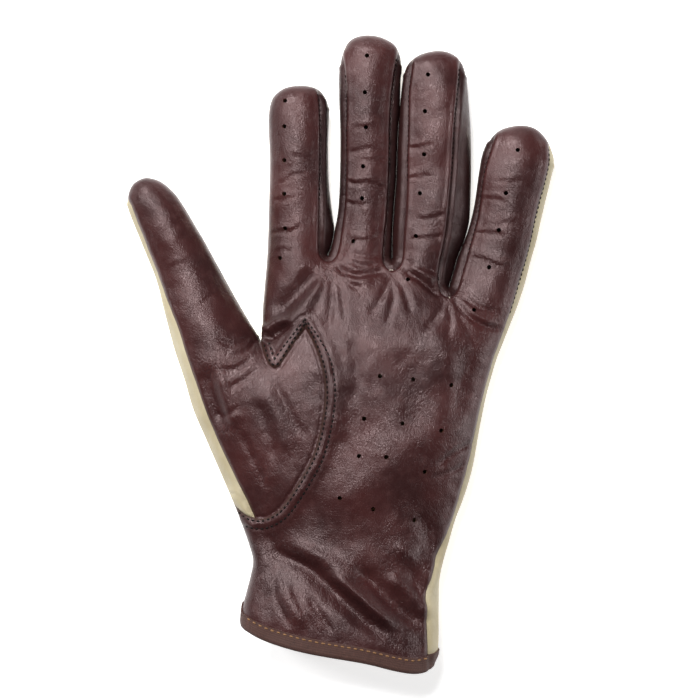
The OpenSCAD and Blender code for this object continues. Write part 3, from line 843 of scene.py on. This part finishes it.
def leather(name, base, deep, worn, flesh, roughness, trim, tint, gloss):
    """Fine grained glove leather: grain, hairline wrinkles with painted shade in them, uneven dye and
    shine, painted shade along the loop's stitch rows, a suede flesh side.

    Sizes of patterns are in millimetres, and the depths given to bump in metres.
    """
    n = Nodes(name)
    drift = n.add("TexNoise", {"Vector": n.rest(), "Scale": 1 / 6.0, "Detail": 2.0}).outputs["Color"]
    drift = n.add("VectorMath", {0: drift, 1: (3.0, 3.0, 3.0)}, operation="MULTIPLY").outputs[0]
    warped = n.add("VectorMath", {0: n.rest((1, 0.6, 1)), 1: drift}, operation="ADD").outputs[0]
    creased = n.value("worked")
    side = n.value("flesh")
    # hairlines: thin valleys where a noise crosses its middle value
    hair = n.ramp(n.math("ABSOLUTE", n.math("SUBTRACT", n.noise(1.7, 3.0, 0.6, warped), 0.5)), 0.0, 0.055)
    net = n.ramp(n.cells(2.1, warped), 0.0, 0.13)
    # the hairlines are deeper, and their painted shade darker, where the leather is creased, and in patches
    # elsewhere
    depth = n.math("ADD", n.math("MULTIPLY", creased, 0.8), n.ramp(n.noise(14, 2.0), 0.48, 0.68, 0.06, 0.5))
    grain = n.ramp(n.cells(0.62, warped), 0.0, 0.25)
    mottle = n.noise(3.4, 4.0, 0.6)
    dye = n.mix(n.ramp(n.noise(24, 3.0), 0.35, 0.68), linear(deep), linear(base))
    dye = n.mix(n.ramp(mottle, 0.52, 0.85, 0.0, 0.4), dye, linear(worn))
    # painted shade: the hairlines and the lines of the cell net are darkened towards the deep colour
    lines = n.math("SUBTRACT", 1.0, n.math("MULTIPLY", hair, net))
    dye = n.mix(n.math("MULTIPLY", lines, n.math("MULTIPLY", depth, 0.5)), dye, linear(deep))
    # painted shade: the leather is darkened along the loop's two stitch rows, in the grooves that the
    # stitches draw in
    dye = n.mix(n.math("MULTIPLY", n.value("rows"), 0.6), dye, linear(deep))
    dye = n.mix(n.value("trim"), dye, linear(trim))
    nap = n.mix(n.noise(0.6, 3.0), linear(flesh), linear([c * 0.8 for c in flesh]))
    colour = n.mix(side, dye, nap)
    shine = n.ramp(mottle, 0.3, 0.7, roughness - 0.05, roughness + 0.07)
    shine = n.math("ADD", shine, n.math("MULTIPLY", n.value("trim"), 0.3))
    shine = n.math("MAXIMUM", shine, n.math("MULTIPLY", side, 0.92))
    relief = n.bump(n.math("MULTIPLY", net, depth), 0.00015, 0.42)
    relief = n.bump(n.math("MULTIPLY", hair, depth), 0.00012, 0.42, relief)
    relief = n.bump(n.noise(2.6, 4.0, 0.6, warped), 0.0006, 0.21, relief)
    relief = n.bump(grain, 0.00005, 0.6, relief)
    return n.finish(Base_Color=colour, Roughness=shine, Normal=relief, Specular_IOR_Level=gloss,
                    Specular_Tint=tint)


WARM, PLAIN = (1.0, 0.79, 0.79, 1.0), (1.0, 1.0, 1.0, 1.0)     # tints of the shine
BROWN = leather("brown_leather", base=(66, 32, 31), deep=(44, 20, 20), worn=(86, 50, 48),
                flesh=(112, 78, 62), roughness=0.35, trim=(56, 39, 28), tint=WARM, gloss=0.55)
# painted shade: the gussets get a darker copy of the brown leather, for the shade that falls between the
# fingers
SHADED_GUSSET = leather("gusset_leather", base=(50, 25, 24), deep=(32, 15, 15), worn=(68, 40, 38),
                 flesh=(112, 78, 62), roughness=0.4, trim=(56, 39, 28), tint=WARM, gloss=0.5)
CREAM = leather("cream_leather", base=(191, 180, 151), deep=(177, 163, 130), worn=(201, 192, 165),
                flesh=(186, 172, 140), roughness=0.5, trim=(190, 176, 144), tint=PLAIN, gloss=0.5)


def tape_material():
    """Woven grosgrain tape: cross ribs over the warp, a little uneven."""
    n = Nodes("brown_tape")
    ribs, warp = n.wave("along", 0.62), n.wave("down", 0.8)
    weave = n.math("ADD", n.math("MULTIPLY", ribs, 0.3), n.math("MULTIPLY", warp, 0.2))
    fuzz = n.noise(0.5, 2.0)
    tone = n.ramp(n.math("ADD", weave, n.math("MULTIPLY", fuzz, 0.6)), -0.4, 0.9)
    relief = n.bump(n.math("ADD", weave, fuzz), 0.0001, 0.6)
    return n.finish(Base_Color=n.mix(tone, linear((52, 29, 23)), linear((86, 54, 46))), Roughness=0.72,
                    Normal=relief)


def thread_material(name, dark, light):
    """Twisted sewing thread."""
    n = Nodes(name)
    inputs = {"Vector": n.rest(), "Scale": 1.6, "Distortion": 1.0}
    twist = n.add("TexWave", inputs, bands_direction="DIAGONAL").outputs["Fac"]
    return n.finish(Base_Color=n.mix(twist, linear(dark), linear(light)), Roughness=0.8,
                    Specular_IOR_Level=0.2, Normal=n.bump(twist, 0.00005, 0.6))


TAPE = tape_material()
# Threads, each with a slot name that nothing here uses
BLACK = (thread_material("black_thread", (10, 7, 6), (26, 18, 16)), "black_thread")
TAN = (thread_material("tan_thread", (116, 82, 54), (164, 124, 88)), "tan_thread")
PALE = (thread_material("pale_thread", (190, 176, 160), (226, 216, 202)), "tan_thread")


def elastic_material():
    """Knitted elastic: lengthwise rubber cores with cross yarns."""
    n = Nodes("elastic")
    weave = n.math("ADD", n.wave("down", 1.1), n.math("MULTIPLY", n.wave("along", 0.5), 0.4))
    colour = n.mix(n.ramp(weave, -1.4, 1.4), linear((188, 182, 168)), linear((226, 222, 210)))
    return n.finish(Base_Color=colour, Roughness=0.8, Normal=n.bump(weave, 0.0002, 0.7))


ELASTIC = elastic_material()

# ------ leather pieces
SKIN = build_skin()
REGIONS = {"palm": ("palm_leather", BROWN, "brown_leather"),
           "thumb": ("thumb_leather", BROWN, "brown_leather"),
           "cream": ("back_leather", CREAM, "cream_leather")}
# The CAD node of each region's piece on the hand, and how its name ends on a digit
ON_HAND = {"palm": "palm_panel", "thumb": "thumb_root_palm", "cream": "back_panel"}
ON_DIGIT = {"palm": "palm", "thumb": "palm", "cream": "back"}
for gap, fingers in enumerate(("index_middle", "middle_ring", "ring_little")):
    REGIONS["gap%d" % gap] = (fingers + "_gusset", SHADED_GUSSET, "brown_leather")
    ON_HAND["gap%d" % gap] = fingers + "_crotch"
    ON_DIGIT["gap%d" % gap] = "fourchettes"


def cad_node(region, zone):
    """The CAD node that a piece of leather stands for."""
    return ON_HAND[region] if zone == "hand" else zone + "_" + ON_DIGIT[region]


for region, (label, material, slot) in REGIONS.items():
    whole = SKIN["faces"][SKIN["region"] == region]
    normals = vertex_normals(SKIN["v"], whole)
    for zone in ZONES:
        faces = SKIN["faces"][(SKIN["region"] == region) & (SKIN["zone"] == zone)]
        if not len(faces):
            continue
        piece = leather_piece(label + "_" + zone, SKIN, faces, whole, normals, material, region == "palm")
        attach(piece, zone)
        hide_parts(cad_node(region, zone))


# ------ binding round the wrist
ROLL_STEPS = 6       # steps in the half turn of the tape round the leather's end
WRIST_MIDDLE = 14    # height of the middle of the wrist's opening


def binding():
    """Tape folded over the end of the leather: outside band, rolled lower edge and inside band."""
    faces = SKIN["faces"][SKIN["band"]]
    used, index = np.unique(faces, return_inverse=True)
    index = index.reshape(-1, 3)
    count = len(used)
    place = {p: k for k, p in enumerate(used)}
    n = SKIN["base"][used]
    outer = SKIN["v"][used] + n * BINDING_T
    inner = SKIN["v"][used] - n * (LEATHER_T + BINDING_T)
    v = [outer, inner]
    out = index.tolist() + (index[:, ::-1] + count).tolist()
    # the rolled edge, ring after ring round the end of the leather
    hem = np.array([[place[a], place[b]] for a, b in rim_of(faces, SKIN["faces"])])
    ends = np.unique(hem)
    along = np.zeros((count, 3))
    for k in (0, 1):
        np.add.at(along, hem[:, k], outer[hem[:, 1]] - outer[hem[:, 0]])
    down = np.cross(along[ends], n[ends])
    down /= np.linalg.norm(down, axis=1)[:, None]
    middle = SKIN["v"][used][ends] - n[ends] * LEATHER_T / 2
    rings = [ends]
    for a in np.linspace(0, math.pi, ROLL_STEPS + 1)[1:-1]:
        rings.append(np.arange(len(ends)) + sum(len(r) for r in v))
        v.append(middle + (n[ends] * math.cos(a) + down * math.sin(a)) * (LEATHER_T / 2 + BINDING_T))
    rings.append(ends + count)
    spot = {p: k for k, p in enumerate(ends)}
    for a, b in hem:
        ka, kb = spot[a], spot[b]
        out += [(r[kb], r[ka], q[ka], q[kb]) for r, q in zip(rings, rings[1:])]
    # the upper edges, outside and inside, down to the leather
    seam = rim_of(faces, faces)
    seam = seam[~np.isin(codes(seam), codes(rim_of(faces, SKIN["faces"])))]
    for base, near, far in ((0, BINDING_T, 0.0), (count, -LEATHER_T - BINDING_T, -LEATHER_T)):
        first = sum(len(r) for r in v)
        edge = np.unique(seam)
        k = np.array([place[p] for p in edge])
        skin = SKIN["v"][edge]
        v += [skin + n[k] * near, skin + n[k] * far]
        a = first + np.searchsorted(edge, seam[:, 0])
        b = first + np.searchsorted(edge, seam[:, 1])
        quads = np.column_stack([b, a, a + len(edge), b + len(edge)])
        out += (quads if base == 0 else quads[:, ::-1]).tolist()
    v = np.vstack(v)
    # how far round the hem and how far up it, for the ribs of the tape
    ring = SKIN["v"][used[ends]]
    order = np.argsort(np.arctan2(ring[:, 2] - WRIST_MIDDLE, ring[:, 0] - ring[:, 0].mean()))
    walk = np.concatenate([[0], np.cumsum(np.linalg.norm(np.diff(ring[order], axis=0), axis=1))])
    tree = KDTree(len(order))
    for k, e in enumerate(order):
        tree.insert(ring[e], k)
    tree.balance()
    found = [tree.find(p) for p in v]
    values = {"along": np.array([walk[f[1]] for f in found]), "down": np.array([f[2] for f in found])}
    piece = make_object("wrist_tape", v, out, TAPE, None, values)
    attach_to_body(piece, "hand")
    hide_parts("wrist_binding")
    return piece


BINDING = binding()


# ------ stitches
def tree_of(faces, v):
    return BVHTree.FromPolygons([tuple(p) for p in v], [tuple(map(int, f)) for f in faces])


PALM_SIDE = tree_of(SKIN["faces"][SKIN["top"]], SKIN["v"])
TAPE_SIDE = tree_of([p.vertices for p in BINDING.data.polygons],
                    np.array([p.co for p in BINDING.data.vertices]) / MM)
ABOVE, BELOW = 80.0, -50.0     # heights clear of the whole glove
STITCH_SIDES = 6
STITCH_RINGS = ((-0.78, 0.75), (-0.35, 1.0), (0.35, 1.0), (0.78, 0.75))     # place along it, and fullness
HOLD = 0.4           # a stitch takes its slope from the points at this share of its length either way


def drop(tree, p):
    """Where a point of the plan lands from above, and which way the surface faces there."""
    hit = tree.ray_cast(Vector((p[0], p[1], ABOVE)), Vector((0, 0, -1)))
    return (np.array(hit[0]), np.array(hit[1])) if hit[0] else (None, None)


def stitch(centre, way, up, length, radius, lift):
    """One stitch: a short round bar, arched over the leather with both its ends sunk in."""
    side = np.cross(up, way)
    v = [centre - way * length / 2 - up * radius]
    for t, grow in STITCH_RINGS:
        middle = centre + way * length / 2 * t + up * (lift * (1 - t * t) - radius * 0.35)
        for k in range(STITCH_SIDES):
            a = 2 * math.pi * k / STITCH_SIDES
            v.append(middle + grow * radius * (side * math.cos(a) + up * math.sin(a)))
    v.append(centre + way * length / 2 - up * radius)
    turn = [(k, (k + 1) % STITCH_SIDES) for k in range(STITCH_SIDES)]
    faces = [(0, 1 + n, 1 + k) for k, n in turn]
    for a in range(1, len(v) - 1 - STITCH_SIDES, STITCH_SIDES):
        b = a + STITCH_SIDES
        faces += [(a + k, a + n, b + n, b + k) for k, n in turn]
    return np.array(v), faces + [(b + k, b + n, len(v) - 1) for k, n in turn]


def sew(name, line, pitch, length, radius, thread, tree=PALM_SIDE, lift=0.12, nodes=()):
    """A row of stitches along a line of the plan, in one piece for each zone that it runs through.

    pitch, length, radius and lift are each stitch's, in millimetres; nodes are what the row stands for.
    """
    material, slot = thread
    line = spline(line, 0.4)
    walk = np.concatenate([[0], np.cumsum(np.hypot(*np.diff(line, axis=0).T))])
    spots = np.arange(pitch / 2, walk[-1], pitch)
    centres = np.column_stack([np.interp(spots, walk, line[:, k]) for k in (0, 1)])
    ahead = np.column_stack([np.interp(spots + 0.3, walk, line[:, k]) for k in (0, 1)])
    made = {}
    for p, q, zone in zip(centres, ahead, zone_of(centres)):
        way = (q - p) / np.hypot(*(q - p))
        a, _ = drop(tree, p - way * length * HOLD)
        b, _ = drop(tree, p + way * length * HOLD)
        c, up = drop(tree, p)
        if a is None or b is None or c is None or abs(a[2] - b[2]) > 2 * length:
            continue
        along = (b - a) / np.linalg.norm(b - a)
        up = up - along * (up @ along)
        up /= np.linalg.norm(up)
        made.setdefault(zone, []).append(stitch(c, along, up, length, radius, lift))
    for zone, parts in made.items():
        v = np.vstack([part[0] for part in parts])
        faces, first = [], 0
        for part in parts:
            faces += [tuple(first + k for k in f) for f in part[1]]
            first += len(part[0])
        piece = make_object(name + "_" + zone, v, faces, material)
        attach(piece, zone)
        if nodes:
            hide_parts(*nodes)


def beside(line, offset):
    """A line moved to its right by the offset: one number, or one for each point."""
    way = np.gradient(line, axis=0)
    way /= np.hypot(*way.T)[:, None]
    return line + np.column_stack([way[:, 1], -way[:, 0]]) * np.reshape(offset, (-1, 1))


def loop_rows():
    """Two rows of black stitches that follow the folded edge round the thumb."""
    size = (2.0, 1.4, 0.36)
    # how far each row is from the edge: along the loop, at its peak, and along the quirk beside the crotch
    for row, far, tip, quirk in (("inner", 0.95, 0.9, 0.9), ("outer", 3.9, 2.0, 2.9)):
        length = np.linspace(0, 1, len(LOOP_A))
        rise = beside(LOOP_A, far + (tip - far) * smooth((length - 0.82) / 0.18))
        length = np.linspace(0, 1, len(LOOP_B))
        fall = beside(LOOP_B, tip + (quirk - tip) * smooth(length / 0.5))
        peak = [LOOP_A[-1] + np.array([-0.1, 1.25]) * tip]
        sew("loop_stitches_rise_" + row, [*rise[2:-1:5], *peak], *size, BLACK, nodes=("thumb_stitching",))
        sew("loop_stitches_quirk_" + row, [*peak, *fall[3:-2:4]], *size, BLACK)


ROW_POINTS = 46      # how many of a seam's points, from the fingertip on, have stitches beside them
ROW_STEP = 6         # the row is a smooth curve through every one of these


def finger_rows():
    """Small black stitches on the palm leather's edge beside each finger seam, towards the tips."""
    for k, gap in enumerate(GAPS):
        crotch = np.argmin(gap[:, 1])
        down, up = gap[:crotch][3:], gap[crotch:][:-3]
        left, right = beside(down, 0.7)[:ROW_POINTS:ROW_STEP], beside(up, 0.7)[-ROW_POINTS::ROW_STEP]
        for side, line in (("left", left), ("right", right)):
            sew("gusset_stitches_%d_%s" % (k, side), line, 1.9, 1.2, 0.25, BLACK, lift=0.1)
    sew("little_edge_stitches", beside(LITTLE_EDGE, 0.4)[2:70:ROW_STEP], 1.9, 1.3, 0.28, BLACK)


def hem_row():
    """Tan stitches just under the tape's upper edge."""
    line = [(x, y - 1.0) for x, y in BAND_PALM[3:-3:4]]
    sew("hem_stitches", line, 2.5, 1.65, 0.32, TAN, TAPE_SIDE, 0.14, ("hem_stitching",))


def crotch_ends():
    """The pale thread ends left where each finger seam turns round its crotch."""
    for k, gap in enumerate(GAPS):
        x, y = gap[np.argmin(gap[:, 1])]
        for side, name in ((-1, "left"), (1, "right")):
            line = [(x + 0.1 * side, y - 0.3), (x + 0.8 * side, y - 1.3)]
            sew("crotch_thread_%d_%s" % (k, name), line, 1.2, 1.2, 0.2, PALE, lift=0.3)


loop_rows()
finger_rows()
crotch_ends()
hem_row()


# ------ elastic inside the back of the wrist
STRIP_INSET = 4                      # the strip ends this far inside its CAD node
STRIP_LOW, STRIP_HIGH = 0.05, 0.85   # its two faces, above the leather's flesh side
STRIP_COLUMNS, STRIP_ROWS = 70, 9


def elastic():
    """A strip sewn flat to the flesh side of the back, under the gathers."""
    under = tree_of(SKIN["faces"][~SKIN["top"]], SKIN["v"])
    low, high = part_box("wrist_elastic")
    xs = np.linspace(low[0] / MM + STRIP_INSET, high[0] / MM - STRIP_INSET, STRIP_COLUMNS)
    ys = np.linspace(low[1] / MM, high[1] / MM, STRIP_ROWS)
    hits = [under.ray_cast(Vector((x, y, BELOW)), Vector((0, 0, 1))) for y in ys for x in xs]
    grid = np.array([np.array(hit[0]) - np.array(hit[1]) * LEATHER_T for hit in hits])
    count, wide = len(grid), len(xs)
    up = np.tile((0, 0, 1.0), (count, 1))
    v = np.vstack([grid + up * STRIP_LOW, grid + up * STRIP_HIGH])
    faces = []
    for r in range(len(ys) - 1):
        for a in range(r * wide, r * wide + wide - 1):
            faces += [(a, a + wide, a + wide + 1, a + 1),
                      (count + a, count + a + 1, count + a + wide + 1, count + a + wide)]
    ring = list(range(wide)) + [wide * r + wide - 1 for r in range(1, len(ys))]
    ring += [count - 1 - k for k in range(1, wide)] + [wide * r for r in range(len(ys) - 2, 0, -1)]
    faces += [(a, b, b + count, a + count) for a, b in zip(ring, ring[1:] + ring[:1])]
    piece = make_object("wrist_elastic_band", v, faces, ELASTIC, None, {"along": v[:, 0], "down": v[:, 1]})
    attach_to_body(piece, "hand")
    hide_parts("wrist_elastic")


elastic()

# ------ floor, light and camera
scene = bpy.context.scene
VIEW_WIDTH = 269.5         # millimetres that the view spans, SHARP_HEIGHT above the floor
SHARP_HEIGHT = 20
VIEW_CENTRE = (3.5, 1.0)
CAMERA_HEIGHT = 1500.0
SENSOR = 36.0
FLOOR_REACH = 4.0          # metres from the middle to an edge


def floor():
    n = Nodes("pale_floor")
    n.finish(Base_Color=linear((250, 250, 250)), Roughness=0.9, Emission_Color=(1, 1, 1, 1),
             Emission_Strength=0.7)
    mesh = bpy.data.meshes.new("floor")
    corners = [(x * FLOOR_REACH, y * FLOOR_REACH, 0) for x, y in ((-1, -1), (1, -1), (1, 1), (-1, 1))]
    mesh.from_pydata(corners, [], [(0, 1, 2, 3)])
    mesh.materials.append(n.material)
    obj = bpy.data.objects.new("floor", mesh)
    scene.collection.objects.link(obj)


def lamp(name, place, target, size, watts):
    """A round soft light, turned towards its target."""
    data = bpy.data.lights.new(name, "AREA")
    data.shape, data.size, data.energy = "DISK", size, watts
    obj = bpy.data.objects.new(name, data)
    obj.location = place
    obj.rotation_mode = "QUATERNION"
    obj.rotation_quaternion = (Vector(target) - Vector(place)).to_track_quat("-Z", "Y")
    scene.collection.objects.link(obj)


def studio():
    world = bpy.data.worlds.new("studio")
    world.use_nodes = True
    background = world.node_tree.nodes["Background"].inputs
    background["Color"].default_value = (1, 1, 1, 1)
    background["Strength"].default_value = 0.06
    scene.world = world
    scene.view_settings.view_transform = "Standard"
    lamp("key", (-0.4, 0.95, 0.8), (0, 0.04, 0), 0.32, 11.5)
    lamp("side", (-0.85, 0.4, 0.9), (0, 0.03, 0), 0.3, 5.5)
    lamp("top", (-0.1, 0.27, 0.9), (0, 0.04, 0), 0.2, 4.7)
    lamp("fill", (1.3, -0.1, 0.35), (0, 0, 0), 0.4, 5)


def camera():
    """Looks straight down, as the photograph does."""
    data = bpy.data.cameras.new("camera")
    data.sensor_width = SENSOR
    data.lens = SENSOR * (CAMERA_HEIGHT - SHARP_HEIGHT) / VIEW_WIDTH
    data.clip_start, data.clip_end = 0.01, 20
    obj = bpy.data.objects.new("camera", data)
    obj.location = (VIEW_CENTRE[0] * MM, VIEW_CENTRE[1] * MM, CAMERA_HEIGHT * MM)
    scene.collection.objects.link(obj)
    scene.camera = obj


floor()
studio()
camera()
